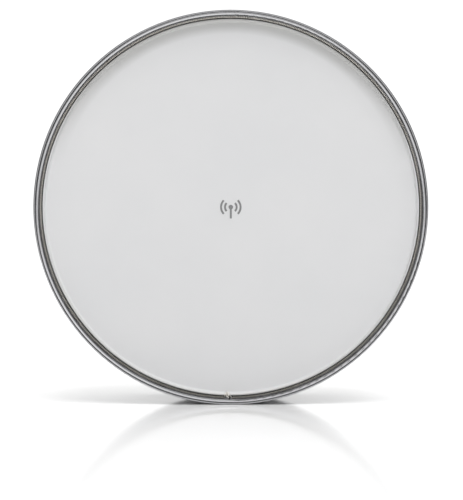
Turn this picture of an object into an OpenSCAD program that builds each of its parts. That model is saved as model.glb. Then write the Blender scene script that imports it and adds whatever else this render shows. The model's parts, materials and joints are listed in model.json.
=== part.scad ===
// Shrouded dish antenna with a flat radome, on a tilting pole mount. Millimetres.
// The origin is on the pole's axis at the middle of the clamp, +Z is up, and the antenna looks along -Y.
// A length called ..._u is measured forward from the pole's axis, which is along -Y.

/* [Reflector] */
// Diameter of the reflector's aperture
dish_d = 500; // [490:1:510]
// Depth of the reflector, from its rim to its vertex
dish_depth = 88; // [84:1:92]
// Thickness of the reflector's sheet
dish_t = 1.5; // [1.2:0.1:1.8]
// Number of pressed ribs on the back of the reflector
rib_count = 8; // [6:1:12]

/* [Shroud and radome] */
// Length of the shroud, from the reflector's rim to the front of the rim bead
shroud_l = 148; // [140:1:170]
// Thickness of the shroud's sheet
sheet_t = 1.2; // [1:0.1:1.3]
// Radius of the round bead on the front rim
bead_r = 2.3; // [2.1:0.1:2.4]
// Outside diameter of the coil spring that holds the radome in
spring_d = 4; // [3.8:0.1:4.1]
// How far the radome's face lies behind the front of the rim
recess = 11; // [10.5:0.5:13]
// Thickness of the radome's sheet
radome_t = 2; // [1.5:0.1:2.2]
// Thickness of the absorber foam that lines the shroud
foam_t = 12; // [6:1:15]
// Number of rivets round the front rim
rim_rivet_count = 24; // [12:1:30]

/* [Radio housing] */
// Width of the housing
housing_w = 124; // [122:1:130]
// Thickness of the housing's walls
wall = 2.5; // [2:0.1:2.6]
// Number of status lights
light_count = 4; // [2:1:4]

/* [Pole mount] */
// Diameter of the pole that the clamp fits
pole_d = 50; // [48:1:50]
// Height of the clamp along the pole
clamp_h = 60; // [58:1:64]
// Furthest tilt up or down, in degrees
tilt_max = 20; // [10:1:20]

/* [Hidden] */

ring_fn = 240; // facets of the large rings in the preview
small_fn = 48; // facets of holes, pins and small rounds
gap = 0.1;     // between neighbours that are assembled against each other
slip = 0.06;   // radial clearance of a pin that turns or slides in its hole
past = 1;      // how far a cutting shape runs past the face that it cuts

// Places along the boresight
hub_u = 146;
vertex_u = hub_u + 10;
dish_r = dish_d / 2;
focal_l = dish_r * dish_r / (4 * dish_depth);
focus_u = vertex_u + focal_l;
rim_u = vertex_u + dish_depth;
front_u = rim_u + shroud_l;
gasket_t = 1;
drum_u = rim_u + gasket_t;
face_u = front_u - recess;
back_u = face_u - radome_t;
drum_end_u = face_u - 0.2;

// Radii of the shroud
drum_ri = dish_r + 2;
drum_ro = drum_ri + sheet_t;
flange_r = dish_r + 7;
outer_r = dish_r + 10;
skirt_ri = dish_r + 3.4;
skirt_t = 1.7;
skirt_u = front_u - 30;

// Two round beads of the rim, and the coil spring between them and the radome's lip,
// each as radius and forward place
bead_c = [dish_r + 2.7 + bead_r, front_u - bead_r];
hem_r = 1.4;
hem_c = [outer_r - hem_r, front_u - 1 - hem_r];
spring_r = spring_d / 2;
spring_c = [dish_r + 1, face_u + spring_r];
lip_ro = spring_c[0] - spring_r - 0.6;
hook_at = -90.8;    // angle about the boresight where the spring's ends meet
hook_deg = 1.45;    // half the angle that the hooks take up
hook_r = 3;
hook_wire_r = 0.5;
hook_c = [spring_c[0] - 2.2, front_u - 5.6];

// Turned-up lip of the radome
turn_r = 3.5;
turn_c = [lip_ro - radome_t - turn_r, face_u + turn_r];
lip_u = spring_c[1] + 2.5;

// Support ring behind the radome
ledge_w = 13;
ledge_t = 1.5;
ledge_u = back_u - gasket_t - ledge_t;
leg_ro = drum_ri - gap;
rim_rivet_u = skirt_u + 6;
rivet_r = 1.6;

// Swages and seam of the shroud
swage_us = [drum_u + 40, drum_u + 86];
swage_h = 2;
seam_at = -112;
seam_deg = 5;
seam_t = 1.1;
seam_rivet_us = [for (d = [10, 24, 56, 70, 102]) drum_u + d];

// Clamp band
band_t = 1.2;
band_ri = flange_r + 0.4;
band_back_u = rim_u - dish_t - gap - band_t;
band_front_u = drum_u + sheet_t + gap + band_t;
band_at = 90;
band_gap_deg = 1.6;
lug_y = [5.2, 8.2];
lug_l = 13;
band_bolt_r = 3;

// Centre of the reflector, hub and feed
hub_r = 78;
hub_land = 62; // radius where the hub starts to follow the reflector's back
rib_from = hub_r + 22;
rib_to = dish_r - 24;
rib_w = 14;
rib_h = 3;
hub_front_u = hub_u + 6;
hub_bolt_at = 40;
hub_bolt_r = 3;
dish_screw_r = 70;
dish_screw_count = 8;
feed_r = 21;
feed_wall = 2.5;
feed_end_u = focus_u + 10;
sub_r = 29;

// Radio housing
cover_u = 112;
split_u = 128;
seal_t = 1.2;
housing_top = 62;
housing_bottom = -92;
corner_r = 20;
housing_screw_at = [[53, 50], [55.5, -10], [52, -80]];
board_u = 135;
board_t = 1.6;
board_w = 64;
board_z = [-62, 56];
post_at = [26, 46];
bay_w = 60;
bay_top = -66;
bay_wall = 3;
jack_w = 16;
jack_u = 121.6;
jack_top = -43;
jack_bottom = bay_top + 2;
mouth_w = 12;
mouth_u = [124, 132];
mouth_depth = 13;
button_at = [19, 131.2];
button_r = 1.8;
light_at = [-14, -56];
light_pitch = -5;
light_r = 1.5;
ground_at = [44, -62];

// Port door: hinge axis as forward place and height
door_axis = [117.8, -90.2];
door_t = 2.2;
door_w = bay_w - 0.6;
door_end_u = hub_u - wall - 0.3;
door_pin_r = 1.5;
notch_w = 9;
notch_l = 9;

// Pole mount
pole_r = pole_d / 2;
flange_u = 10; // half the gap between the clamp's two halves
flange_t = 6;
shell_t = 6;
mount_w = 104;
bolt_r = 4;
bolt_flats = 13;
bolt_head = 5.3;
nut_h = 6.5;
clamp_bolt_at = [42, 18];
plate_t = 4;
plate_u = cover_u - plate_t;
plate_w = 98;
tilt_ear = [21, 25];     // inner and outer face of the tilt bracket's ears
mast_ear = [25.4, 30.4]; // inner and outer face of the mast bracket's ears
pivot = [62, -18];       // forward place and height
lock_r = 36;
lock = pivot + [0, lock_r];
slot_r = bolt_r + 0.4;
tick_step = 5;
tick_depth = 0.5;

// ---- Helpers ----

// Runs its children along the boresight: their +Z points forward and their +Y up.
module boresight(u = 0) translate([0, -u, 0]) rotate([90, 0, 0]) children();

// Puts children at an angle and a radius about the boresight: +X outwards, +Z forward.
module around(angle, r, u) boresight(u) rotate([0, 0, angle]) translate([r, 0, 0]) children();

// Turns a profile, drawn as radius and forward place, about the boresight.
module lathe(from = 0, deg = 360)
    boresight() rotate([0, 0, from]) rotate_extrude(angle = deg, $fn = ring_fn) children();

// Points its children's +Z outwards from the boresight.
module outwards(angle, r, u) around(angle, r, u) rotate([0, 90, 0]) children();

// Extrudes a side view, drawn as forward place and height, from x down to x - t.
module side_view(x, t) translate([x, 0, 0]) rotate([90, 0, -90]) linear_extrude(t) children();

// Puts children at x, forward place and height, with their +Z along +X.
module across(x, at) translate([x, -at[0], at[1]]) rotate([0, 90, 0]) children();

module rod(r, l) cylinder(r = r, h = l, $fn = small_fn);

module tube(ro, ri, l) difference() {
    rod(ro, l);
    translate([0, 0, -past]) rod(ri, l + 2 * past);
}

module hex(flats, l) cylinder(r = flats / sqrt(3), h = l, $fn = 6);

module nut(flats, bore_r, l) difference() {
    hex(flats, l);
    translate([0, 0, -past]) rod(bore_r, l + 2 * past);
}

// A blind rivet: flanged head outside, shank through the grip and a flared tail inside.
module rivet(r, grip, head_h) {
    translate([0, 0, -grip - r]) rod(r * 1.3, r - gap);
    translate([0, 0, -grip - r]) rod(r, grip + r + head_h);
    translate([0, 0, gap]) rod(r * 1.9, head_h);
}

module four(at) for (sx = [-1, 1], sy = [-1, 1]) translate([sx * at[0], sy * at[1], 0]) children();

module both_sides() {
    children();
    mirror([1, 0, 0]) children();
}

// A block from two opposite corners, given as x, forward place and height.
module block(a, b) translate([a[0], -b[1], a[2]]) cube([b[0] - a[0], b[1] - a[1], b[2] - a[2]]);

module rounded_rect(w, h, r) {
    square([w - 2 * r, h], center = true);
    square([w, h - 2 * r], center = true);
    for (sx = [-1, 1], sy = [-1, 1])
        translate([sx * (w / 2 - r), sy * (h / 2 - r)]) circle(r, $fn = small_fn * 2);
}

// A slot shape along +X between the centres of its two round ends.
module stadium(from, to, w) {
    translate([from, -w / 2]) square([to - from, w]);
    for (x = [from, to]) translate([x, 0]) circle(w / 2, $fn = small_fn);
}

// Points of an arc in a profile, and a list in the opposite order.
function arc(c, r, from, to, n) =
    [for (i = [0:n]) let (a = from + (to - from) * i / n) c + r * [cos(a), sin(a)]];
function backwards(list) = [for (i = [len(list) - 1:-1:0]) list[i]];

// Reflector: forward place of its front at a radius, and a line at a depth behind its front.
function dish_u(r) = vertex_u + r * r / (4 * focal_l);
function behind(r, t) =
    let (s = r / (2 * focal_l), n = sqrt(1 + s * s)) [r + t * s / n, dish_u(r) - t / n];
function dish_line(from, to, t, n) =
    [for (i = [0:n]) behind(from + (to - from) * i / n, t)];

// One side of the shroud's sheet along its length, with the swages rolled outwards.
function drum_line(r, to_u) = concat(
    [for (s = swage_us, p = [[0, -5], [swage_h, -2], [swage_h, 2], [0, 5]]) [r + p[0], s + p[1]]],
    [[r, to_u]]);

// ---- Radome and front rim ----

// A flat face, a lip that turns forward, and outside it a brim that the spring presses on.
module radome_panel() color("whitesmoke") lathe() polygon(concat(
    [[0, back_u], [drum_ri - 0.3, back_u], [drum_ri - 0.3, face_u], [lip_ro, face_u],
     [lip_ro, lip_u - 0.4], [lip_ro - 0.4, lip_u], [lip_ro - radome_t + 0.4, lip_u],
     [lip_ro - radome_t, lip_u - 0.4]],
    arc(turn_c, turn_r, 0, -90, 8),
    [[0, face_u]]));

// Generic mark: a mast with two pairs of waves.
module emblem() color("gray") boresight(face_u) linear_extrude(0.25) {
    circle(3, $fn = small_fn);
    translate([-1.3, -15]) square([2.6, 13]);
    for (r = [6.4, 11.6], side = [0, 180]) rotate(side)
        polygon(concat(arc([0, 0], r + 2.6, -44, 44, 12), backwards(arc([0, 0], r, -44, 44, 12))));
}

module retaining_spring() color("gray")
    lathe(hook_at + hook_deg, 360 - 2 * hook_deg) translate(spring_c) circle(spring_r, $fn = small_fn);

module hook_ring() rotate_extrude($fn = small_fn) translate([hook_r, 0]) circle(hook_wire_r, $fn = 24);

// A straight wire from one point to another.
module wire(a, b, r) {
    d = b - a;
    translate(a) rotate([0, acos(d[2] / norm(d)), atan2(d[1], d[0])]) rod(r, norm(d));
}

// The two hooks are linked rings, each with a tail into its end of the spring.
module spring_hooks() color("silver") around(hook_at, hook_c[0], hook_c[1]) {
    link = hook_r - 1;
    tail = [spring_c[0] - hook_c[0], 0, spring_c[1] - hook_c[1]];
    translate([0, link, 0]) hook_ring();
    wire([0, link + hook_r, 0], tail + [0, link + hook_r + 0.8, 0], hook_wire_r);
    translate([0.8, -link, 0]) rotate([0, 70, 0]) hook_ring();
    wire([0.8, -link - hook_r, 0], tail - [0, link + hook_r + 0.8, 0], hook_wire_r);
}

module rim_holes(r) for (i = [0:rim_rivet_count - 1])
    outwards(360 * (i + 0.5) / rim_rivet_count, dish_r - 5, rim_rivet_u) rod(r, 14);

// A skirt outside the shroud, a large bead that overhangs the spring and a small one outside it.
module front_rim() color("silver") difference() {
    lathe() {
        translate(bead_c) circle(bead_r, $fn = small_fn);
        translate(hem_c) circle(hem_r, $fn = small_fn);
        translate([skirt_ri, skirt_u]) square([skirt_t, bead_c[1] - skirt_u]);
        translate([skirt_ri, hem_c[1] - hem_r]) square([hem_c[0] - skirt_ri, hem_r]);
    }
    rim_holes(rivet_r + gap);
}

module rim_rivets() color("silver") for (i = [0:rim_rivet_count - 1])
    outwards(360 * (i + 0.5) / rim_rivet_count, skirt_ri + skirt_t, rim_rivet_u)
        rivet(rivet_r, skirt_ri + skirt_t - leg_ro + ledge_t, 1.2);

module support_ring() color("silver") difference() {
    lathe() {
        translate([leg_ro - ledge_w, ledge_u]) square([ledge_w, ledge_t]);
        translate([leg_ro - ledge_t, skirt_u]) square([ledge_t, ledge_u - skirt_u + gap]);
    }
    rim_holes(rivet_r + gap);
}

module panel_gasket() color("dimgray") lathe()
    translate([leg_ro - ledge_w + 1, back_u - gasket_t]) square([5.5, gasket_t]);

// ---- Shroud ----

module seam_holes(r) for (u = seam_rivet_us, side = [-1, 1])
    outwards(seam_at + side * seam_deg / 3, dish_r - 5, u) rod(r, 14);

module shroud_drum() color("silver") difference() {
    lathe(seam_at + 0.1, 359.8) polygon(concat(
        [[drum_ri, drum_u], [flange_r, drum_u], [flange_r, drum_u + sheet_t], [drum_ro, drum_u + sheet_t]],
        drum_line(drum_ro, drum_end_u), backwards(drum_line(drum_ri, drum_end_u))));
    rim_holes(rivet_r + gap);
    seam_holes(rivet_r + gap);
    outwards(-90, dish_r, drum_u + 16) rod(3, 6);
}

module seam_strip() color("silver") difference() {
    lathe(seam_at - seam_deg / 2, seam_deg) polygon(concat(
        [[drum_ro + gap, drum_u + 5], [drum_ro + gap + seam_t, drum_u + 5]],
        drum_line(drum_ro + gap + seam_t, skirt_u - 1), backwards(drum_line(drum_ro + gap, skirt_u - 1))));
    seam_holes(rivet_r + gap);
}

module seam_rivets() color("silver") for (u = seam_rivet_us, side = [-1, 1])
    outwards(seam_at + side * seam_deg / 3, drum_ro + gap + seam_t, u)
        rivet(rivet_r, sheet_t + gap + seam_t, 1.2);

module absorber_lining() color("dimgray") lathe()
    translate([drum_ri - 3 - foam_t, drum_u + 6]) square([foam_t, skirt_u - drum_u - 8]);

module rim_gasket() color("black") lathe()
    translate([drum_ri, rim_u]) square([flange_r - drum_ri, gasket_t]);

// ---- Clamp band ----

module band_lugs() around(band_at, band_ri + 0.2, (band_back_u + band_front_u) / 2)
    for (side = [0, 1]) mirror([0, side, 0])
        translate([0, lug_y[0], -6]) cube([lug_l, lug_y[1] - lug_y[0], 12]);

// Puts children on the band bolt's axis, their +Z along the rim, a distance from the middle.
module on_band_bolt(y) around(band_at, band_ri + 8, (band_back_u + band_front_u) / 2)
    translate([0, y, 0]) rotate([-90, 0, 0]) children();

module clamp_band() color("silver") difference() {
    union() {
        lathe(band_at + band_gap_deg, 360 - 2 * band_gap_deg) difference() {
            translate([band_ri - 3, band_back_u])
                square([3 + band_t, band_front_u - band_back_u]);
            translate([band_ri - 4, band_back_u + band_t])
                square([4, band_front_u - band_back_u - 2 * band_t]);
        }
        band_lugs();
    }
    on_band_bolt(-20) rod(band_bolt_r + 0.2, 40);
}

module band_bolt() color("silver") {
    on_band_bolt(-lug_y[1] - 9) rod(band_bolt_r, 2 * lug_y[1] + 9 + gap);
    on_band_bolt(lug_y[1] + gap) hex(10, 4);
}

module band_nut() color("silver") on_band_bolt(-lug_y[1] - gap - 5) nut(10, band_bolt_r + slip, 5);

// ---- Reflector and feed ----

// Puts children on the reflector's front at the hub screws, +Z square to the surface.
module at_dish_screws() for (i = [0:dish_screw_count - 1])
    around(360 * (i + 0.5) / dish_screw_count, dish_screw_r, dish_u(dish_screw_r))
        rotate([0, -atan(dish_screw_r / (2 * focal_l)), 0]) children();

// Ribs with round ends, cut from a skin that follows the reflector's back.
module dish_ribs() for (i = [0:rib_count - 1]) intersection() {
    around(360 * (i + 0.5) / rib_count, 0, vertex_u) linear_extrude(dish_depth)
        stadium(rib_from, rib_to, rib_w);
    lathe() polygon(concat(
        dish_line(rib_from - rib_w, rib_to + rib_w, dish_t / 2, 8),
        backwards(dish_line(rib_from - rib_w, rib_to + rib_w, dish_t + rib_h, 8))));
}

module reflector_dish() color("whitesmoke") difference() {
    union() {
        lathe() polygon(concat(
            dish_line(feed_r + 0.4, dish_r, 0, 24),
            [[flange_r, rim_u], [flange_r, rim_u - dish_t]],
            backwards(dish_line(feed_r + 0.4, dish_r - 0.5, dish_t, 24))));
        dish_ribs();
    }
    at_dish_screws() translate([0, 0, -6]) rod(2.6, 12);
}

module dish_screws() color("silver") at_dish_screws() {
    translate([0, 0, -8]) rod(2.4, 8.5);
    translate([0, 0, gap]) rod(4.6, 2.6);
}

module dish_hub() color("silver") difference() {
    union() {
        lathe() polygon(concat(
            [[feed_r + slip, hub_u], [hub_r, hub_u]],
            dish_line(hub_r - 1, hub_land, dish_t + gap, 4),
            [[hub_land - 3, hub_front_u], [feed_r + 6, hub_front_u],
             [feed_r + 4, hub_front_u + 2], [feed_r + slip, hub_front_u + 2]]));
        boresight(hub_u) four([hub_bolt_at, hub_bolt_at]) rod(8, 10.5);
    }
    boresight(hub_u - past) four([hub_bolt_at, hub_bolt_at]) rod(hub_bolt_r + gap, 10);
    at_dish_screws() translate([0, 0, -9]) rod(2.5, 10);
}

module feed_tube() color("whitesmoke") boresight(hub_u + gap)
    tube(feed_r, feed_r - feed_wall, feed_end_u - hub_u - gap);

module feed_cap() color("whitesmoke") lathe() polygon([
    [feed_r + gap, focus_u], [feed_r + 3, focus_u], [feed_r + 3, focus_u + 9],
    [sub_r + 3, focus_u + 9], [sub_r + 3, focus_u + 19], [sub_r, focus_u + 22], [0, focus_u + 22],
    [0, focus_u + 20], [sub_r + 1, focus_u + 18], [sub_r + 1, focus_u + 11], [feed_r + gap, focus_u + 11]
]);

module subreflector() color("silver") lathe() polygon([
    [0, focus_u + 13], [8, focus_u + 13], [sub_r, focus_u + 15], [sub_r, focus_u + 16.5],
    [8, focus_u + 14.5], [0, focus_u + 14.5]
]);

module feed_dipole() color("gold") boresight(focus_u - 1.6) {
    rod(16, 1.6);
    for (side = [-1, 1]) translate([side * 6, 0, 1.5]) rod(1.5, 9);
}

module feed_coax() color("black") boresight(board_u + board_t)
    rod(1.8, focus_u - 1.6 - board_u - board_t);

// ---- Radio housing ----

module housing_outline(inset = 0) translate([0, (housing_top + housing_bottom) / 2])
    rounded_rect(housing_w - 2 * inset, housing_top - housing_bottom - 2 * inset, corner_r - inset);

// A slab of the housing's outline between two forward places.
module slab(from_u, to_u, inset = 0) boresight(from_u) linear_extrude(to_u - from_u)
    housing_outline(inset);

module at_housing_screws(u) for (at = housing_screw_at, side = [-1, 1])
    boresight(u) translate([side * at[0], at[1], 0]) children();

module at_posts(u) boresight(u) four(post_at) children();

// The walls round the port bay between two forward places, and the bay's hollow.
module bay_block(from_u, to_u) block(
    [-bay_w / 2 - bay_wall, from_u, housing_bottom + 1], [bay_w / 2 + bay_wall, to_u, bay_top + bay_wall]);
module bay_hollow(from_u, to_u) block(
    [-bay_w / 2, from_u, housing_bottom - past], [bay_w / 2, to_u, bay_top]);

module jack_hole() block(
    [-jack_w / 2 - 0.2, jack_u - 0.2, bay_top - past],
    [jack_w / 2 + 0.2, board_u, bay_top + bay_wall + past]);

module housing_base() color("whitesmoke") difference() {
    union() {
        difference() {
            slab(split_u + seal_t / 2, hub_u);
            slab(split_u, hub_u - wall, wall);
        }
        bay_block(split_u + seal_t / 2, hub_u);
        boresight(split_u + seal_t / 2) four([hub_bolt_at, hub_bolt_at])
            rod(7, hub_u - split_u - seal_t / 2);
        at_housing_screws(split_u + seal_t / 2) rod(4.5, hub_u - split_u - wall);
        at_posts(board_u + board_t) rod(3, hub_u - wall - board_u);
    }
    boresight(split_u) four([hub_bolt_at, hub_bolt_at]) rod(hub_bolt_r + 0.3, 20);
    at_housing_screws(split_u) rod(1.6, 12);
    at_posts(board_u) rod(1.3, 8);
    boresight(hub_u - wall - past) rod(2.4, wall + 2 * past);
    bay_hollow(split_u, hub_u - wall);
    jack_hole();
    translate([button_at[0], -button_at[1], bay_top - past]) rod(button_r + slip, bay_wall + 2 * past);
}

module housing_cover() color("whitesmoke") difference() {
    union() {
        difference() {
            slab(cover_u, split_u - seal_t / 2);
            slab(cover_u + wall, split_u, wall);
        }
        bay_block(cover_u, split_u - seal_t / 2);
        boresight(cover_u) four([hub_bolt_at, hub_bolt_at]) rod(7, split_u - seal_t / 2 - cover_u);
        at_housing_screws(cover_u) rod(4.5, split_u - seal_t / 2 - cover_u);
        boresight(cover_u) translate(ground_at) rod(5, 12);
    }
    boresight(cover_u - past) four([hub_bolt_at, hub_bolt_at]) rod(hub_bolt_r + 0.3, 20);
    at_housing_screws(cover_u - past) rod(1.7, 20);
    at_housing_screws(cover_u - past) rod(3.4, 4);
    boresight(cover_u - past) translate(ground_at) rod(2.6, 11);
    boresight(cover_u - past) at_lights() rod(light_r + slip, wall + 2 * past);
    bay_hollow(cover_u + wall, split_u);
    jack_hole();
    across(-bay_w / 2 - bay_wall - past, door_axis) rod(door_pin_r + slip, bay_w + 2 * bay_wall + 2 * past);
}

module housing_seal() color("dimgray") difference() {
    slab(split_u - seal_t / 2, split_u + seal_t / 2, 0.5);
    slab(split_u - seal_t, split_u + seal_t, wall - 0.3);
    bay_hollow(split_u - seal_t, split_u + seal_t);
}

module housing_screws() color("silver") {
    at_housing_screws(cover_u + 0.5) rod(3.1, 2.4);
    at_housing_screws(cover_u + 0.5) rod(1.5, 25);
}

module main_board() color("darkgreen") difference() {
    block([-board_w / 2, board_u, board_z[0]], [board_w / 2, board_u + board_t, board_z[1]]);
    at_posts(board_u - past) rod(1.4, 4);
}

module board_screws() color("silver") {
    at_posts(board_u - gap - 1.6) rod(2.4, 1.6);
    at_posts(board_u - gap - 1.6) rod(1.2, 7);
}

module shield_can() color("silver") difference() {
    block([-22, board_u - 5, -28], [22, board_u, 24]);
    block([-21.6, board_u - 4.6, -27.6], [21.6, board_u + past, 23.6]);
}

module ethernet_jack() color("dimgray") difference() {
    block([-jack_w / 2, jack_u, jack_bottom], [jack_w / 2, board_u - gap, jack_top]);
    block([-mouth_w / 2, mouth_u[0], jack_bottom - past],
        [mouth_w / 2, mouth_u[1], jack_bottom + mouth_depth]);
}

module port_door() color("whitesmoke") {
    difference() {
        block([-door_w / 2, door_axis[0], housing_bottom], [door_w / 2, door_end_u, housing_bottom + door_t]);
        translate([0, notch_l - door_end_u - past, housing_bottom - past]) {
            rod(notch_w / 2, door_t + 2 * past);
            translate([-notch_w / 2, -notch_l, 0]) cube([notch_w, notch_l, door_t + 2 * past]);
        }
    }
    across(-door_w / 2, door_axis) rod(door_t - 0.4, door_w);
    across(-bay_w / 2 - bay_wall + 0.4, door_axis) rod(door_pin_r, bay_w + 2 * bay_wall - 0.8);
    block([-12, door_end_u - 4, housing_bottom + door_t - gap], [-7, door_end_u - 2, housing_bottom + 6]);
    block([7, door_end_u - 4, housing_bottom + door_t - gap], [12, door_end_u - 2, housing_bottom + 6]);
}

module reset_button() color("dimgray") translate([button_at[0], -button_at[1], bay_top - 1]) {
    rod(button_r, bay_wall + 3);
    translate([0, 0, bay_wall + 1 + gap]) rod(3, 1);
    translate([0, 0, bay_wall + 2]) rod(1.1, 4);
}

module reset_switch() color("black")
    block([button_at[0] - 3, board_u - 6, -57], [button_at[0] + 3, board_u - gap, -51]);

module at_lights() for (i = [0:light_count - 1])
    translate([light_at[0] + i * light_pitch, light_at[1], 0]) children();

module status_lights() color("palegreen") boresight(cover_u - 0.3) at_lights()
    rod(light_r, board_u - cover_u);

module rating_plate() color("gainsboro") boresight(cover_u - 0.3) linear_extrude(0.3)
    translate([0, housing_bottom + 15]) rounded_rect(48, 16, 2);

module ground_screw() color("gold") boresight(cover_u) translate(ground_at) {
    translate([0, 0, -5.5]) hex(8, 4);
    translate([0, 0, -1.5]) rod(5.5, 1.4);
    translate([0, 0, -5]) rod(2.5, 14);
}

// ---- Pole mount ----

module at_pivot(x) across(x, pivot) children();
module at_lock(x) across(x, lock) children();

module tilt_bracket() color("gainsboro") difference() {
    union() {
        block([-plate_w / 2, plate_u, -plate_w / 2], [plate_w / 2, cover_u - gap, plate_w / 2]);
        both_sides() side_view(tilt_ear[1], tilt_ear[1] - tilt_ear[0]) {
            polygon([[plate_u + 1, -44], [plate_u + 1, 38], lock + [1, 9], lock + [-8, 2],
                pivot + [-10, 2], pivot + [0, -10]]);
            translate(pivot) circle(10, $fn = small_fn);
            translate(lock) circle(9, $fn = small_fn);
        }
    }
    boresight(plate_u - past) four([hub_bolt_at, hub_bolt_at]) rod(hub_bolt_r + 0.3, plate_t + 2 * past);
    at_pivot(-tilt_ear[1] - past) rod(bolt_r + slip, 2 * tilt_ear[1] + 2 * past);
    at_lock(-tilt_ear[1] - past) rod(bolt_r + slip, 2 * tilt_ear[1] + 2 * past);
}

module hub_bolts() color("silver") boresight(plate_u) four([hub_bolt_at, hub_bolt_at]) {
    translate([0, 0, -5.7]) hex(10, 4);
    translate([0, 0, -1.7]) rod(6, 1.6);
    translate([0, 0, -5]) rod(hub_bolt_r, hub_u + 8 - plate_u + 5);
}

// One half of the clamp, seen along the pole, and its bolt holes.
module clamp_half() difference() {
    union() {
        circle(pole_r + shell_t, $fn = small_fn * 2);
        translate([-mount_w / 2, -flange_u - flange_t]) square([mount_w, flange_t]);
    }
    circle(pole_r, $fn = small_fn * 2);
    translate([-mount_w, -flange_u]) square([2 * mount_w, 3 * pole_r]);
}

module clamp_holes() translate([0, flange_u + flange_t + past, 0]) rotate([90, 0, 0])
    four(clamp_bolt_at) rod(bolt_r + 0.3, 2 * (flange_u + flange_t + past));

module mast_ear_view() difference() {
    union() {
        polygon(concat(
            [[flange_u + 2, -clamp_h / 2], [flange_u + 2, clamp_h / 2], [40, clamp_h / 2 - 2]],
            arc(pivot, lock_r + slot_r + 7, 120, 57, 6), [pivot + [12, 0]]));
        translate(pivot) circle(12, $fn = small_fn);
    }
    polygon(concat(
        arc(pivot, lock_r + slot_r, 90 - tilt_max, 90 + tilt_max, 10),
        backwards(arc(pivot, lock_r - slot_r, 90 - tilt_max, 90 + tilt_max, 10))));
    for (side = [-1, 1]) translate(pivot + lock_r * [side * sin(tilt_max), cos(tilt_max)])
        circle(slot_r, $fn = small_fn);
}

// Elevation scale: marks cut into the outside of an ear beyond the slot, every few degrees.
module tick_marks() for (a = [-tilt_max:tick_step:tilt_max]) at_pivot(mast_ear[1] - tick_depth)
    rotate([0, 0, 180 - a]) translate([lock_r + slot_r + 1.5, -0.4, 0])
        cube([a % (2 * tick_step) == 0 ? 4.5 : 3, 0.8, tick_depth + past]);

module mast_bracket() color("gainsboro") difference() {
    union() {
        translate([0, 0, -clamp_h / 2]) linear_extrude(clamp_h) clamp_half();
        both_sides() side_view(mast_ear[1], mast_ear[1] - mast_ear[0]) mast_ear_view();
    }
    clamp_holes();
    translate([0, 0, -clamp_h / 2 - past]) rod(pole_r, clamp_h + 2 * past);
    at_pivot(-mast_ear[1] - past) rod(bolt_r + slip, 2 * mast_ear[1] + 2 * past);
    both_sides() tick_marks();
}

// A cross bolt through both brackets: head beyond +X and room for its nut beyond -X.
module cross_bolt() {
    translate([0, 0, -mast_ear[1] - 10]) rod(bolt_r, 2 * mast_ear[1] + 10 + 2);
    translate([0, 0, mast_ear[1] + 2]) hex(bolt_flats, bolt_head);
    translate([0, 0, mast_ear[1] + gap]) tube(8, bolt_r - 0.5, 2 - gap);
}

module cross_nut() translate([0, 0, -mast_ear[1] - gap - nut_h]) {
    nut(bolt_flats, bolt_r + slip, nut_h);
    translate([0, 0, nut_h - 1.6]) tube(8, bolt_r + slip, 1.6);
}

module cross_sleeve() translate([0, 0, gap - tilt_ear[0]])
    tube(7, bolt_r + slip, 2 * (tilt_ear[0] - gap));

module pivot_bolt() color("silver") at_pivot(0) cross_bolt();
module pivot_nut() color("silver") at_pivot(0) cross_nut();
module pivot_sleeve() color("silver") at_pivot(0) cross_sleeve();
module lock_bolt() color("silver") at_lock(0) cross_bolt();
module lock_nut() color("silver") at_lock(0) cross_nut();
module lock_sleeve() color("silver") at_lock(0) cross_sleeve();

module clamp_jaw() color("gainsboro") difference() {
    rotate([0, 0, 180]) translate([0, 0, -clamp_h / 2]) linear_extrude(clamp_h) clamp_half();
    clamp_holes();
    translate([0, 0, -clamp_h / 2 - past]) rod(pole_r, clamp_h + 2 * past);
}

module clamp_bolts() color("silver") translate([0, -flange_u - flange_t, 0]) rotate([-90, 0, 0])
    four(clamp_bolt_at) {
        translate([0, 0, -gap - bolt_head]) hex(bolt_flats, bolt_head);
        translate([0, 0, -gap - 1]) rod(bolt_r, 2 * (flange_u + flange_t) + 30);
    }

module clamp_nuts() color("silver") translate([0, flange_u + flange_t + gap, 0]) rotate([-90, 0, 0])
    four(clamp_bolt_at) {
        tube(8.5, bolt_r + slip, 1.6);
        translate([0, 0, 1.5]) nut(bolt_flats, bolt_r + slip, nut_h);
    }

radome_panel();
emblem();
retaining_spring();
spring_hooks();
front_rim();
rim_rivets();
shroud_drum();
seam_strip();
seam_rivets();
support_ring();
panel_gasket();
absorber_lining();
rim_gasket();
clamp_band();
band_bolt();
band_nut();
reflector_dish();
dish_screws();
dish_hub();
feed_tube();
feed_cap();
subreflector();
feed_dipole();
feed_coax();
housing_base();
housing_cover();
housing_seal();
housing_screws();
main_board();
board_screws();
shield_can();
ethernet_jack();
port_door();
reset_button();
reset_switch();
status_lights();
rating_plate();
ground_screw();
tilt_bracket();
hub_bolts();
mast_bracket();
pivot_bolt();
pivot_nut();
pivot_sleeve();
lock_bolt();
lock_nut();
lock_sleeve();
clamp_jaw();
clamp_bolts();
clamp_nuts();
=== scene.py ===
import json
import math
from collections import namedtuple

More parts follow.
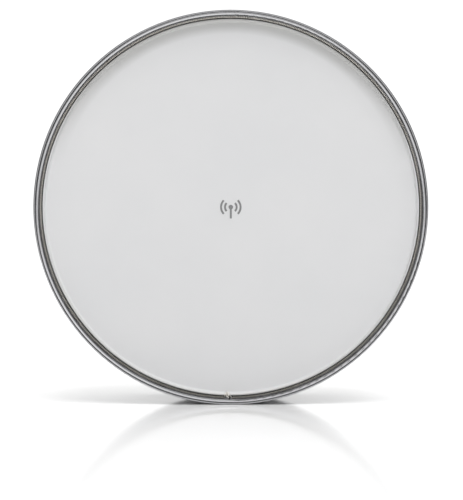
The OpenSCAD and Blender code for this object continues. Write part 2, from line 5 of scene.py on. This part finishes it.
import bmesh
import bpy
import numpy as np
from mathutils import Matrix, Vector


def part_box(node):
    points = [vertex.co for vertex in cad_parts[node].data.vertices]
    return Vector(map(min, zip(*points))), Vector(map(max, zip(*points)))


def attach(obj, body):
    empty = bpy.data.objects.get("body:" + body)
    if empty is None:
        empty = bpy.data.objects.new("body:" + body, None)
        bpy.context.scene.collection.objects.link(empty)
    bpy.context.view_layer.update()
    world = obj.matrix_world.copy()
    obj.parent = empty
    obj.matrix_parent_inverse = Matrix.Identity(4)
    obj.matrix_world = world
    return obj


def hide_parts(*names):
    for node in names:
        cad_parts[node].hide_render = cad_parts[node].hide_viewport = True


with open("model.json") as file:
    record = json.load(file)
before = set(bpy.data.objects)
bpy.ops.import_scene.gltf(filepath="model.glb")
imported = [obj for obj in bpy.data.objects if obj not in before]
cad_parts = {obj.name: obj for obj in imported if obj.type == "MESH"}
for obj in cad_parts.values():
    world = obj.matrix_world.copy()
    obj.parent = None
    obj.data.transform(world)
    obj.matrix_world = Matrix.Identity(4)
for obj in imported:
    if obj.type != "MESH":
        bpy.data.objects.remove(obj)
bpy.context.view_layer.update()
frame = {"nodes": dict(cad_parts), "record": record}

# Looks of a shrouded dish antenna, in metres, in the part's own frame: +Z up, boresight along -Y.

NODES = frame["nodes"]
SLOT_OF = {part["node"]: part["material_slot"] for part in frame["record"]["subparts"]}
BODY_OF = {node: body for body, nodes in frame["record"]["behaviour"]["bodies"].items() for node in nodes}
MM = 0.001
TAU = 2 * math.pi

RIM_LOW, RIM_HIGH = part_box("front_rim")
RIM_R = RIM_HIGH.x
FRONT_Y = RIM_LOW.y
HEM_R = RIM_R - 2.4 * MM     # where the outer of the rim's two beads begins
HEM_GROOVE = 0.8 * MM        # the groove between them

SPRING_LOW, SPRING_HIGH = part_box("retaining_spring")
SPRING_HALF = (SPRING_HIGH.y - SPRING_LOW.y) / 2
SPRING_R = SPRING_HIGH.x - SPRING_HALF
SPRING_Y = (SPRING_LOW.y + SPRING_HIGH.y) / 2
SPRING_WIRE = 0.6 * MM            # radius of the wire in the coil
SPRING_PITCH = 2.2 * MM           # from turn to turn, as the spring is stretched round the rim
HOOK_WIRE = 0.7 * MM              # radius of the wire in the hooks
HOOK_AT = math.radians(-90.8)     # where the hooks meet
HOOK_HALF = math.radians(1.45)    # half of the angle that the hooks take up


# ---- Surfaces ----

class Nodes:
    """A tree of shader nodes that is built up in code."""

    def __init__(self, tree):
        self.tree = tree

    def link(self, source, target):
        self.tree.links.new(source, target)

    def add(self, kind, inputs=None, **settings):
        """Adds a node, and sets or links its inputs, by name or by number."""
        node = self.tree.nodes.new(kind)
        for name, value in settings.items():
            setattr(node, name, value)
        for key, value in (inputs or {}).items():
            if isinstance(value, bpy.types.NodeSocket):
                self.link(value, node.inputs[key])
            else:
                node.inputs[key].default_value = value
        return node


class Surface(Nodes):
    """A Principled material that is built up from noise in the part's own coordinates."""

    def __init__(self, name, colour, roughness, metallic=0.0):
        self.material = bpy.data.materials.new(name)
        self.material.use_nodes = True
        super().__init__(self.material.node_tree)
        self.shader = self.tree.nodes["Principled BSDF"]
        self.shader.inputs["Base Color"].default_value = (*colour, 1)
        self.shader.inputs["Roughness"].default_value = roughness
        self.shader.inputs["Metallic"].default_value = metallic
        self.place = self.add("ShaderNodeTexCoord").outputs["Object"]
        self.height = None

    def noise(self, size, detail=2.0, at=None):
        """Noise with features of about a size in metres, as a factor from 0 to 1."""
        return self.add("ShaderNodeTexNoise", {
            "Vector": at or self.place, "Scale": 1 / size, "Detail": detail}).outputs["Fac"]

    def cells(self, size, output="Color"):
        """Random cells of about a size in metres: a colour for each, or the distance to its middle."""
        return self.add("ShaderNodeTexVoronoi", {"Vector": self.place, "Scale": 1 / size}).outputs[output]

    def ring_place(self):
        """Coordinates that stay the same round the boresight, for marks left by turning and rolling."""
        parts = self.add("ShaderNodeSeparateXYZ", {0: self.place})
        flat = self.add("ShaderNodeCombineXYZ", {"X": parts.outputs["X"], "Z": parts.outputs["Z"]})
        radius = self.add("ShaderNodeVectorMath", {0: flat.outputs[0]}, operation="LENGTH")
        return self.add("ShaderNodeCombineXYZ", {
            "X": radius.outputs["Value"], "Y": parts.outputs["Y"]}).outputs[0]

    def spread(self, factor, low, high):
        """Maps the middle of a noise factor to a range."""
        return self.add("ShaderNodeMapRange", {
            "Value": factor, "From Min": 0.3, "From Max": 0.7, "To Min": low, "To Max": high}).outputs[0]

    def blend(self, share, colour):
        """Blends the base colour towards another by a share."""
        base = self.shader.inputs["Base Color"]
        under = base.links[0].from_socket if base.links else base.default_value
        mix = self.add("ShaderNodeMix", {"Factor": share, "A": under, "B": (*colour, 1)}, data_type="RGBA")
        self.link(mix.outputs["Result"], base)
        return self

    def tint(self, factor, colour, amount):
        """Blends the base colour towards another where the factor is high."""
        return self.blend(self.spread(factor, 0.0, amount), colour)

    def by_height(self, none, full):
        """A factor that goes from 0 at one height to 1 at another, above or below it."""
        height = self.add("ShaderNodeSeparateXYZ", {0: self.place}).outputs["Z"]
        return self.add("ShaderNodeMapRange", {
            "Value": height, "From Min": none, "From Max": full}).outputs[0]

    def darken_between(self, inner, outer, colour, soft=0.3 * MM, share=1.0):
        """Blends the base colour towards another between two radii about the boresight, as much as a share
        says. It is used mostly to paint shade into grooves, channels and recesses.
        """
        radius = self.add("ShaderNodeSeparateXYZ", {0: self.ring_place()}).outputs["X"]
        for edge, side in ((inner, 1), (outer, -1)):
            inside = self.add("ShaderNodeMapRange", {
                "Value": radius, "From Min": edge - soft * side, "From Max": edge + soft * side}).outputs[0]
            share = self.add("ShaderNodeMath", {0: inside, 1: share}, operation="MULTIPLY").outputs[0]
        return self.blend(share, colour)

    def polish(self, factor, low, high):
        """Varies the roughness between two values."""
        self.link(self.spread(factor, low, high), self.shader.inputs["Roughness"])
        return self

    def relief(self, factor, depth, strength=1.0):
        """Adds a fine relief, of a depth in metres, on top of any that is there."""
        bump = self.add("ShaderNodeBump", {"Height": factor, "Distance": depth, "Strength": strength})
        if self.height:
            self.link(self.height, bump.inputs["Normal"])
        self.height = bump.outputs[0]
        self.link(self.height, self.shader.inputs["Normal"])
        return self


def radome_plastic():
    """Pale plastic with a painted shadow of the rim across the top of its face, painted shade in its lip at
    the bottom, and a near-black band painted as shade under the spring.
    """
    s = Surface("radome_plastic", (0.715, 0.715, 0.72), 0.5)
    s.tint(s.noise(0.12, 3), (0.675, 0.68, 0.69), 0.5)
    s.polish(s.noise(0.02, 4), 0.42, 0.55)
    # Painted shadow of the rim across the top of the face, and painted shade in the lip at the bottom, each
    # weighted by height.
    top_shadow_weight = s.by_height(0.06, 0.2)
    bottom_shade_weight = s.by_height(0, -0.12)
    s.darken_between(SPRING_R - 17 * MM, RIM_R, (0.55, 0.55, 0.545), soft=5 * MM, share=top_shadow_weight)
    s.darken_between(SPRING_R - 8 * MM, RIM_R, (0.51, 0.51, 0.5), soft=1.5 * MM, share=top_shadow_weight)
    s.darken_between(SPRING_R - 5.8 * MM, RIM_R, (0.59, 0.59, 0.585), soft=0.6 * MM, share=bottom_shade_weight)
    # A near-black band painted as shade on the lip under the spring.
    s.darken_between(SPRING_R - SPRING_HALF - 0.5 * MM, RIM_R, (0.05, 0.05, 0.048))
    return s.relief(s.noise(0.0012, 1), 12e-6).relief(s.noise(0.06, 1), 60e-6)


def mark_ink():
    s = Surface("mark_ink", (0.2, 0.2, 0.205), 0.55)
    s.tint(s.noise(0.0015, 3), (0.27, 0.27, 0.27), 0.6)
    return s.relief(s.noise(0.0006, 2), 8e-6)


def rim_metal():
    """Rolled bare metal, darker on the hem, with painted shade in its grooves."""
    s = Surface("rim_metal", (0.56, 0.56, 0.575), 0.24, metallic=1.0)
    turned = s.ring_place()
    s.tint(s.noise(0.05, 4), (0.5, 0.5, 0.51), 0.6)
    s.polish(s.noise(0.0004, 3, at=turned), 0.16, 0.34)
    s.darken_between(HEM_R, 2 * RIM_R, (0.38, 0.38, 0.39))
    # Painted shade in the groove between the rim's two beads, and in the channel where the spring lies.
    s.darken_between(HEM_R - HEM_GROOVE, HEM_R, (0.08, 0.08, 0.085))
    s.darken_between(0, SPRING_R + SPRING_HALF + 0.2 * MM, (0.06, 0.06, 0.06))
    return s.relief(s.noise(0.0003, 2, at=turned), 2e-6).relief(s.noise(0.004, 3), 4e-6)


def spring_steel():
    s = Surface("spring_steel", (0.97, 0.94, 0.89), 0.26, metallic=1.0)
    s.tint(s.noise(0.03, 4), (0.8, 0.76, 0.69), 0.7)
    s.polish(s.noise(0.002, 3), 0.24, 0.42)
    return s.relief(s.noise(0.0002, 2), 1.5e-6)


def sheet_metal():
    s = Surface("sheet_metal", (0.62, 0.625, 0.635), 0.38, metallic=1.0)
    turned = s.ring_place()
    s.tint(s.noise(0.09, 5), (0.5, 0.505, 0.515), 0.55)
    s.tint(s.noise(0.0007, 2, at=turned), (0.7, 0.7, 0.71), 0.4)
    s.polish(s.noise(0.025, 5), 0.3, 0.5)
    return s.relief(s.noise(0.0005, 2, at=turned), 4e-6).relief(s.noise(0.07, 1), 1.2e-4, 0.6)


def dish_paint():
    s = Surface("dish_paint", (0.62, 0.62, 0.615), 0.42)
    s.tint(s.noise(0.15, 5), (0.55, 0.55, 0.54), 0.5)
    s.tint(s.noise(0.012, 6), (0.46, 0.45, 0.42), 0.15)
    s.polish(s.noise(0.03, 4), 0.34, 0.5)
    return s.relief(s.noise(0.0016, 1), 25e-6).relief(s.noise(0.05, 1), 1e-4, 0.7)


def cast_metal():
    s = Surface("cast_metal", (0.52, 0.525, 0.53), 0.48, metallic=1.0)
    s.tint(s.noise(0.01, 5), (0.4, 0.4, 0.41), 0.7)
    s.polish(s.noise(0.004, 4), 0.4, 0.62)
    return s.relief(s.noise(0.0011, 4), 60e-6)


def zinc_steel():
    s = Surface("zinc_steel", (0.6, 0.615, 0.64), 0.28, metallic=1.0)
    s.tint(s.noise(0.006, 4), (0.5, 0.5, 0.47), 0.6)
    s.polish(s.noise(0.003, 4), 0.2, 0.42)
    return s.relief(s.noise(0.0006, 3), 6e-6)


def galvanised():
    s = Surface("galvanised", (0.55, 0.565, 0.58), 0.42, metallic=1.0)
    s.tint(s.cells(0.0055), (0.47, 0.48, 0.5), 0.6)
    s.tint(s.noise(0.03, 5), (0.66, 0.665, 0.66), 0.4)
    s.polish(s.cells(0.0055), 0.4, 0.55)
    return s.relief(s.noise(0.002, 3), 25e-6)


def housing_plastic():
    s = Surface("housing_plastic", (0.8, 0.8, 0.795), 0.5)
    s.tint(s.noise(0.05, 4), (0.73, 0.73, 0.72), 0.4)
    s.polish(s.noise(0.008, 3), 0.44, 0.58)
    return s.relief(s.noise(0.0005, 3), 18e-6)


def dark_plastic():
    s = Surface("dark_plastic", (0.028, 0.028, 0.03), 0.45)
    s.tint(s.noise(0.01, 4), (0.06, 0.06, 0.06), 0.5)
    s.polish(s.noise(0.003, 3), 0.36, 0.55)
    return s.relief(s.noise(0.0004, 3), 12e-6)


def gasket_rubber():
    s = Surface("gasket_rubber", (0.02, 0.02, 0.02), 0.75)
    s.tint(s.noise(0.006, 4), (0.07, 0.068, 0.065), 0.5)
    return s.relief(s.noise(0.0006, 3), 20e-6)


def absorber_foam():
    s = Surface("absorber_foam", (0.035, 0.035, 0.038), 0.95)
    s.tint(s.noise(0.004, 4), (0.075, 0.075, 0.08), 0.7)
    return s.relief(s.cells(0.0018, "Distance"), 5e-4)


def board_laminate():
    s = Surface("board_laminate", (0.012, 0.09, 0.035), 0.32)
    s.tint(s.cells(0.003), (0.02, 0.14, 0.06), 0.6)
    return s.relief(s.cells(0.003), 30e-6)


def gold_brass():
    s = Surface("gold_brass", (0.72, 0.52, 0.2), 0.3, metallic=1.0)
    s.tint(s.noise(0.004, 4), (0.5, 0.36, 0.14), 0.6)
    s.polish(s.noise(0.002, 3), 0.22, 0.45)
    return s.relief(s.noise(0.0005, 2), 5e-6)


def light_lens():
    s = Surface("light_lens", (0.2, 0.6, 0.3), 0.3)
    s.tint(s.noise(0.001, 2), (0.3, 0.7, 0.38), 0.6)
    return s.relief(s.noise(0.0005, 2), 10e-6)


def label_film():
    s = Surface("label_film", (0.5, 0.5, 0.5), 0.35)
    s.tint(s.noise(0.01, 4), (0.42, 0.42, 0.41), 0.5)
    return s.relief(s.noise(0.0008, 2), 6e-6)


FINISHES = {make.__name__: make().material for make in (
    radome_plastic, mark_ink, rim_metal, spring_steel, sheet_metal, dish_paint, cast_metal, zinc_steel,
    galvanised, housing_plastic, dark_plastic, gasket_rubber, absorber_foam, board_laminate, gold_brass,
    light_lens, label_film)}


def finish_frame():
    """Gives every CAD node the surface that its material slot in the record is named after."""
    for name, slot in SLOT_OF.items():
        mesh = NODES[name].data
        mesh.materials.clear()
        mesh.materials.append(FINISHES[slot])


def soften_edges():
    """Rounds the sharp edges of moulded, cast and folded pieces that stay as CAD shapes."""
    widths = {
        "housing_base": 0.8, "housing_cover": 1.6, "port_door": 0.5, "dish_hub": 1.0, "tilt_bracket": 0.6,
        "mast_bracket": 0.7, "clamp_jaw": 0.7, "ethernet_jack": 0.3, "rating_plate": 0.1,
        "clamp_band": 0.3, "seam_strip": 0.3,
    }
    for name, width in widths.items():
        bevel = NODES[name].modifiers.new("round", "BEVEL")
        bevel.width = width * MM
        bevel.segments = 3
        bevel.limit_method = "ANGLE"
        bevel.angle_limit = math.radians(40)
        bevel.use_clamp_overlap = True
        bevel.harden_normals = True


# ---- Pieces that replace plain CAD shapes ----

ANY_SIDE = (0.31, 0.87, 0.38)    # a direction that no wire starts in
COIL_STEPS = 12                  # steps of the path in a turn of the spring
COIL_SIDES = 6
HOOK_STEPS = 8                   # steps of the path between two knots of a hook
HOOK_SIDES = 12


def new_piece(name, points, faces, node, crease=None, slot=None):
    """A smooth-shaded mesh in place of a CAD node, or beside one if it has a slot of its own.

    Edges sharper than the crease angle stay sharp.
    """
    mesh = bpy.data.meshes.new(name)
    mesh.from_pydata([tuple(p) for p in points], [], [tuple(f) for f in faces])
    mesh.update()
    mesh.shade_smooth()
    if crease:
        mesh.set_sharp_from_angle(angle=math.radians(crease))
    mesh.materials.append(FINISHES[slot or SLOT_OF[node]])
    piece = bpy.data.objects.new(name, mesh)
    bpy.context.scene.collection.objects.link(piece)
    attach(piece, BODY_OF[node])
    if not slot:
        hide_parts(node)


def joined(shapes):
    """One list of points and faces from several."""
    points = []
    faces = []
    for more_points, more_faces in shapes:
        start = len(points)
        points.extend(tuple(p) for p in more_points)
        faces.extend(tuple(start + i for i in face) for face in more_faces)
    return points, faces


def placed(shape, origin, along):
    """A shape in millimetres, drawn about +Z, turned to point along a direction from an origin."""
    turn = Vector((0, 0, 1)).rotation_difference(Vector(along)).to_matrix()
    return [Vector(origin) + MM * (turn @ Vector(p)) for p in shape[0]], shape[1]


def solids(name):
    """The points of each separate solid of a CAD node, as arrays."""
    mesh = bmesh.new()
    mesh.from_mesh(NODES[name].data)
    bmesh.ops.remove_doubles(mesh, verts=mesh.verts, dist=1e-6)
    found = []
    left = set(mesh.verts)
    while left:
        seed = min(left, key=lambda v: v.index)
        group = {seed}
        front = [seed]
        while front:
            for edge in front.pop().link_edges:
                for vert in edge.verts:
                    if vert not in group:
                        group.add(vert)
                        front.append(vert)
        left -= group
        found.append(np.array(sorted(tuple(v.co) for v in group)))
    mesh.free()
    return found


def wrap(count, sides, closed=False):
    """Faces over a stack of rings of points, with flat ends unless it closes on itself."""
    faces = []
    for i in range(count if closed else count - 1):
        j = (i + 1) % count
        for k in range(sides):
            m = (k + 1) % sides
            faces.append((i * sides + k, i * sides + m, j * sides + m, j * sides + k))
    if not closed:
        faces.append(tuple(reversed(range(sides))))
        faces.append(tuple((count - 1) * sides + k for k in range(sides)))
    return faces


def sweep(path, radius, sides):
    """Points and faces of a round wire along a smooth path."""
    path = np.asarray(path, float)
    along = np.gradient(path, axis=0)
    along /= np.linalg.norm(along, axis=1)[:, None]
    turn = np.arange(sides) * TAU / sides
    points = np.zeros((len(path), sides, 3))
    side = np.cross(along[0], ANY_SIDE)
    for i, centre in enumerate(path):
        side = side - along[i] * np.dot(side, along[i])
        side /= np.linalg.norm(side)
        up = np.cross(along[i], side)
        points[i] = centre + radius * (np.outer(np.cos(turn), side) + np.outer(np.sin(turn), up))
    return points.reshape(-1, 3), wrap(len(path), sides)


def rim_point(angle, radius, y):
    """A point at an angle about the boresight, as the camera sees it: 0 to the right, 90 up."""
    return np.array((radius * math.cos(angle), y, radius * math.sin(angle)))


def coil_spring():
    """Winds the extension spring round the rim's groove, from one side of its hooks to the other."""
    span = TAU - 2 * HOOK_HALF
    turns = round(SPRING_R * span / SPRING_PITCH)
    steps = turns * COIL_STEPS
    coil = SPRING_HALF - SPRING_WIRE
    path = []
    for i in range(steps + 1):
        share = i / steps
        angle = HOOK_AT + HOOK_HALF + span * share
        wind = TAU * turns * share
        path.append(rim_point(angle, SPRING_R + coil * math.cos(wind), SPRING_Y + coil * math.sin(wind)))
    new_piece("retaining_spring_coils", *sweep(path, SPRING_WIRE, COIL_SIDES), "retaining_spring")


def smooth_path(knots, steps):
    """A smooth curve through points, with a number of steps between each two."""
    knots = np.asarray(knots, float)
    ends = np.vstack((2 * knots[0] - knots[1], knots, 2 * knots[-1] - knots[-2]))
    path = []
    for a, b, c, d in zip(ends, ends[1:], ends[2:], ends[3:]):
        for t in np.arange(steps) / steps:
            path.append(b + 0.5 * t * ((c - a) + t * (2 * a - 5 * b + 4 * c - d + t * (3 * (b - c) + d - a))))
    return np.array(path + [knots[-1]])


def spring_ends():
    """The wire at each end of the spring bends forward into a hook, and the two hooks are linked.

    The knots of each hook are its distances along the rim, outwards and forward in millimetres. The
    long hook ends in a dark cap, which is drawn as rings of a radius and a height.
    """
    along = rim_point(HOOK_AT + math.pi / 2, 1, 0)
    outwards = rim_point(HOOK_AT, 1, 0)
    forward = np.array((0, -1, 0))
    middle = rim_point(HOOK_AT, SPRING_R, SPRING_Y)
    ring_hook = (
        (-6.9, 1.2, 0.0), (-6.2, 1.0, 1.4), (-5.0, -0.8, 3.4), (-4.2, -3.6, 5.0), (-3.0, -6.2, 5.8),
        (-0.8, -7.2, 6.0), (0.6, -5.4, 6.0), (0.3, -2.6, 5.4), (-1.3, -1.0, 4.4), (-3.0, -1.2, 3.6))
    long_hook = (
        (6.9, 1.2, 0.0), (6.2, 1.0, 1.6), (4.4, -0.6, 3.0), (1.9, -2.6, 4.0), (-0.6, -4.4, 4.6),
        (-2.6, -5.4, 5.2), (-3.2, -4.6, 6.2), (-2.0, -2.9, 6.4), (-0.3, -1.0, 6.4), (1.2, 0.6, 6.6),
        (1.6, 0.8, 7.4))
    cap_rings = ((0.8, 0), (1.1, 0.2), (1.2, 0.5), (1.2, 1.1), (1.1, 1.4), (0.8, 1.6))
    wires = []
    for knots in (ring_hook, long_hook):
        route = smooth_path(knots, HOOK_STEPS)
        path = [middle + MM * (a * along + r * outwards + f * forward) for a, r, f in route]
        wires.append(sweep(path, HOOK_WIRE, HOOK_SIDES))
    new_piece("spring_hook_wires", *joined(wires), "spring_hooks", crease=50)
    cap = placed(skin([ring(r, z) for r, z in cap_rings]), path[-4], path[-1] - path[-4])
    new_piece("spring_end_cap", *cap, "spring_hooks", crease=50, slot="gasket_rubber")


# ---- Fasteners, in millimetres, drawn about +Z ----

X, Y = 0, 1
SIDES = 48
CHAMFER = math.tan(math.radians(30))
CROWN = 0.475        # radius of the flat top of a hexagonal head, as a share of its width
THREAD_STEPS = 6     # rings in a turn of a thread
THREAD_DEPTH = 0.5   # as a share of the pitch
PLAY = 0.05          # between a bolt and its washer
NUT_PLAY = 0.1       # between a bolt's radius and its nut's bore

BoltSize = namedtuple("BoltSize", "radius flats head pitch")
M8 = BoltSize(4, 13, 5.3, 1.25)
M6 = BoltSize(3, 10, 4, 1)
M5 = BoltSize(2.5, 8, 4, 0.8)


def ring(size, z, hexagonal=False):
    """A ring of points about +Z: a circle of a radius, or a hexagon of a width across its flats."""
    turn = np.arange(SIDES) * TAU / SIDES
    radius = size
    if hexagonal:
        radius = size / 2 / np.cos((turn + TAU / 12) % (TAU / 6) - TAU / 12)
    return np.stack((radius * np.cos(turn), radius * np.sin(turn), z + 0 * turn), 1)


def skin(rings, closed=False):
    """Points and faces over a stack of rings."""
    return np.concatenate(rings), wrap(len(rings), SIDES, closed)


def hex_ring(flats, z, drop):
    """A hexagon at a height. A chamfer lowers its corners where drop is 1, and lifts them where it is -1."""
    points = ring(flats, z, hexagonal=True)
    reach = np.hypot(points[:, 0], points[:, 1])
    points[:, 2] -= drop * np.maximum(reach - CROWN * flats, 0) * CHAMFER
    return points


def thread(radius, pitch, start, end):
    """The rings of a screw thread from one height to another."""
    rings = []
    for z in np.arange(start, end, pitch / THREAD_STEPS):
        points = ring(1, z)
        turn = np.arctan2(points[:, 1], points[:, 0]) / TAU
        depth = np.abs(2 * ((z / pitch - turn) % 1) - 1) * THREAD_DEPTH * pitch
        points[:, :2] *= (radius - depth)[:, None]
        rings.append(points)
    return rings


def washer(bore, radius, low, high):
    """A flat washer with broken edges."""
    edge = 0.2 * (high - low)
    return skin([
        ring(bore, low), ring(radius - edge, low), ring(radius, low + edge), ring(radius, high - edge),
        ring(radius - edge, high), ring(bore, high)], closed=True)


def hex_bolt(size, thread_l, washer_r=0, washer_t=0):
    """Makes a bolt's shape from its whole length, with a washer if that has a radius.

    The head stands up from the origin.
    """
    radius, flats, head, pitch = size

    def shape(whole):
        end = head - whole
        thread_end = thread_l + end
        bolt = skin([
            ring(radius - pitch, end), *thread(radius, pitch, pitch / 2 + end, thread_end),
            ring(radius, thread_end), ring(radius, 0), hex_ring(flats, 0, 0), hex_ring(flats, head, 1),
            ring(CROWN * flats, head)])
        if washer_r:
            return joined((bolt, washer(radius + PLAY, washer_r, -washer_t, -PLAY)))
        return bolt
    return shape


def hex_nut(size, height, washer_r=0, washer_t=0):
    """Makes a nut's shape, on a washer if that has a radius, up to a height above the origin."""
    bore = size.radius + NUT_PLAY
    flats = size.flats
    nut = skin([
        ring(bore, washer_t), ring(CROWN * flats, washer_t), hex_ring(flats, washer_t, -1),
        hex_ring(flats, height, 1), ring(CROWN * flats, height), ring(1.1 * bore, height),
        ring(bore, height - 0.1 * bore)], closed=True)
    if washer_r:
        nut = joined((washer(bore, washer_r, 0, washer_t), nut))
    return lambda whole: nut


def socket_screw(radius, head_r, head, pitch):
    """Makes the shape of a small screw with a hexagonal socket in its round head."""
    def shape(whole):
        end = head - whole
        return skin([
            ring(0.6 * radius, end), *thread(radius, pitch, pitch + end, -pitch),
            ring(radius, -pitch / 2), ring(radius, 0), ring(head_r, 0), ring(head_r, 0.75 * head),
            ring(0.93 * head_r, 0.93 * head), ring(0.8 * head_r, head),
            ring(0.9 * head_r, head, hexagonal=True), ring(0.9 * head_r, 0.4 * head, hexagonal=True)])
    return shape


def blind_rivet():
    """Makes the shape of a rivet with a domed flange and the dimple that its mandrel leaves."""
    shank_r = 1.55
    bulge_r = 2.0
    flange_r = 3.04
    edge_h = 0.3
    dome_h = 0.85
    slopes = np.radians((0, 15, 30, 45, 60))
    dome = [ring(flange_r * math.cos(a), edge_h + dome_h * math.sin(a)) for a in slopes]
    rivet = skin([
        ring(bulge_r, -5.2), ring(bulge_r, -4.2), ring(shank_r, -3.8), ring(shank_r, 0), ring(2.9, 0),
        ring(flange_r, 0.1), *dome, ring(1.1, 1.14), ring(0.9, 1.1), ring(0.8, 0.6)])
    return lambda whole: rivet


def at_end(axis, sign, inset):
    """Where a fastener starts: in from one end of its solid, and its direction out of that end."""
    along = np.zeros(3)
    along[axis] = sign

    def place(points):
        origin = (points.min(0) + points.max(0)) / 2
        origin[axis] += sign * (np.ptp(points[:, axis]) / 2 - inset * MM)
        return origin, along
    return place


def on_shroud(points):
    """Where a rivet's flange lies on the shroud, and its direction out of it."""
    flange_h = 1.35 * MM
    middle = (points.min(0) + points.max(0)) / 2
    out = middle * (1, 0, 1) / math.hypot(middle[0], middle[2])
    top = np.hypot(points[:, 0], points[:, 2]).max() - flange_h
    return out * top + (0, middle[1], 0), out


def fasten(name, shape_of, place_of):
    """Puts a detailed shape in place of each solid of a fastener node."""
    shapes = []
    for points in solids(name):
        whole = np.ptp(points, 0).max() / MM
        shapes.append(placed(shape_of(whole), *place_of(points)))
    new_piece(name + "_detailed", *joined(shapes), name, crease=28)


def make_fasteners():
    """Threaded bolts, chamfered nuts, socket screws and domed rivets."""
    clamp_nut_h = 8
    cross_nut_h = 6.5
    band_nut_h = 5
    screw_head_h = 2.4
    fasten("clamp_bolts", hex_bolt(M8, thread_l=34), at_end(Y, -1, M8.head))
    fasten("clamp_nuts", hex_nut(M8, clamp_nut_h, washer_r=8.4, washer_t=1.6), at_end(Y, 1, clamp_nut_h))
    cross_bolt = hex_bolt(M8, thread_l=30, washer_r=8, washer_t=1.9)
    cross_nut = hex_nut(M8, cross_nut_h, washer_r=8, washer_t=1.6)
    for name in ("pivot", "lock"):
        fasten(name + "_bolt", cross_bolt, at_end(X, 1, M8.head))
        fasten(name + "_nut", cross_nut, at_end(X, -1, cross_nut_h))
    fasten("band_bolt", hex_bolt(M6, thread_l=24), at_end(X, -1, M6.head))
    fasten("band_nut", hex_nut(M6, band_nut_h), at_end(X, 1, band_nut_h))
    fasten("hub_bolts", hex_bolt(M6, thread_l=8, washer_r=6, washer_t=1.6), at_end(Y, 1, M6.head))
    fasten("ground_screw", hex_bolt(M5, thread_l=9, washer_r=5.5, washer_t=1.4), at_end(Y, 1, M5.head))
    housing_screw = socket_screw(radius=1.5, head_r=3.1, head=screw_head_h, pitch=0.6)
    fasten("housing_screws", housing_screw, at_end(Y, 1, screw_head_h))
    for name in ("rim_rivets", "seam_rivets"):
        fasten(name, blind_rivet(), on_shroud)


# ---- Camera, light and floor ----

VIEW_DISTANCE = 2.4      # from the rim's front to the camera
RIM_SHARE = 0.3954       # radius of the rim in the picture, as a share of the picture's height
RIM_LIFT = 0.0858        # how far the rim's middle stands above the picture's, as a share of the same
RIM_LEFT = 0.0014        # and how far to the left of it
SURROUND_DIM = 0.2       # strength of the surround, at the sides and above
SURROUND_BRIGHT = 1.2    # ahead and behind
BACKDROP = 1.1           # as the camera sees it, wherever it looks
FLOOR_Z = RIM_LOW.z
FLOOR_HALF = 6.0


def point_camera():
    """Puts the camera on the boresight. A small shift keeps the rim round and above the middle."""
    data = bpy.data.cameras.new("camera")
    data.lens = data.sensor_width * RIM_SHARE * (VIEW_DISTANCE / RIM_R)
    data.shift_y = -RIM_LIFT
    data.shift_x = RIM_LEFT
    camera = bpy.data.objects.new("camera", data)
    camera.location = (0, FRONT_Y - VIEW_DISTANCE, 0)
    camera.rotation_euler = (math.pi / 2, 0, 0)
    bpy.context.scene.collection.objects.link(camera)
    bpy.context.scene.camera = camera


def sun(name, heading, spread, strength, gleam=True):
    """A sun that shines along a heading from a disc of a spread in degrees, with or without highlights."""
    data = bpy.data.lights.new(name, "SUN")
    data.energy = strength
    data.angle = math.radians(spread)
    light = bpy.data.objects.new(name, data)
    light.rotation_euler = Vector(heading).to_track_quat("-Z", "Y").to_euler()
    light.visible_glossy = gleam
    bpy.context.scene.collection.objects.link(light)


def light_stage():
    """A key light high in front, a broad light overhead, and a surround that is bright ahead and behind.

    The surround starts to brighten where the cosine of the angle off the boresight is 0.8. The key light
    gives no highlights, so the bright lines on the rim are what it mirrors of the surround.
    """
    sun("key", heading=(-0.12, 0.36, -0.93), spread=40, strength=2.3, gleam=False)
    sun("overhead", heading=(-0.05, -0.45, -1), spread=90, strength=1.8)
    world = bpy.data.worlds.new("surround")
    world.use_nodes = True
    surround = Nodes(world.node_tree)
    direction = surround.add("ShaderNodeTexCoord").outputs["Generated"]
    forward = surround.add("ShaderNodeSeparateXYZ", {0: direction}).outputs["Y"]
    either_way = surround.add("ShaderNodeMath", {0: forward}, operation="ABSOLUTE").outputs[0]
    glow = surround.add("ShaderNodeMapRange", {
        "Value": either_way, "From Min": 0.8, "From Max": 0.97, "To Min": SURROUND_DIM,
        "To Max": SURROUND_BRIGHT}, interpolation_type="SMOOTHSTEP").outputs[0]
    seen = surround.add("ShaderNodeLightPath").outputs["Is Camera Ray"]
    strength = surround.add("ShaderNodeMix", {"Factor": seen, "A": glow, "B": BACKDROP}, data_type="FLOAT")
    background = world.node_tree.nodes["Background"]
    background.inputs["Color"].default_value = (1, 1, 1, 1)
    surround.link(strength.outputs["Result"], background.inputs["Strength"])
    bpy.context.scene.world = world
    bpy.context.scene.view_settings.view_transform = "Standard"


def lay_floor():
    """A plain pale floor with a slight sheen."""
    corners = [(sx * FLOOR_HALF, sy * FLOOR_HALF, FLOOR_Z) for sx, sy in ((-1, -1), (1, -1), (1, 1), (-1, 1))]
    mesh = bpy.data.meshes.new("floor")
    mesh.from_pydata(corners, [], [(0, 1, 2, 3)])
    white = Surface("floor_white", (0.9, 0.9, 0.9), 0.1)
    white.shader.inputs["Specular IOR Level"].default_value = 0.15
    mesh.materials.append(white.material)
    floor = bpy.data.objects.new("floor", mesh)
    bpy.context.scene.collection.objects.link(floor)


point_camera()
light_stage()
lay_floor()
finish_frame()
soften_edges()
coil_spring()
spring_ends()
make_fasteners()
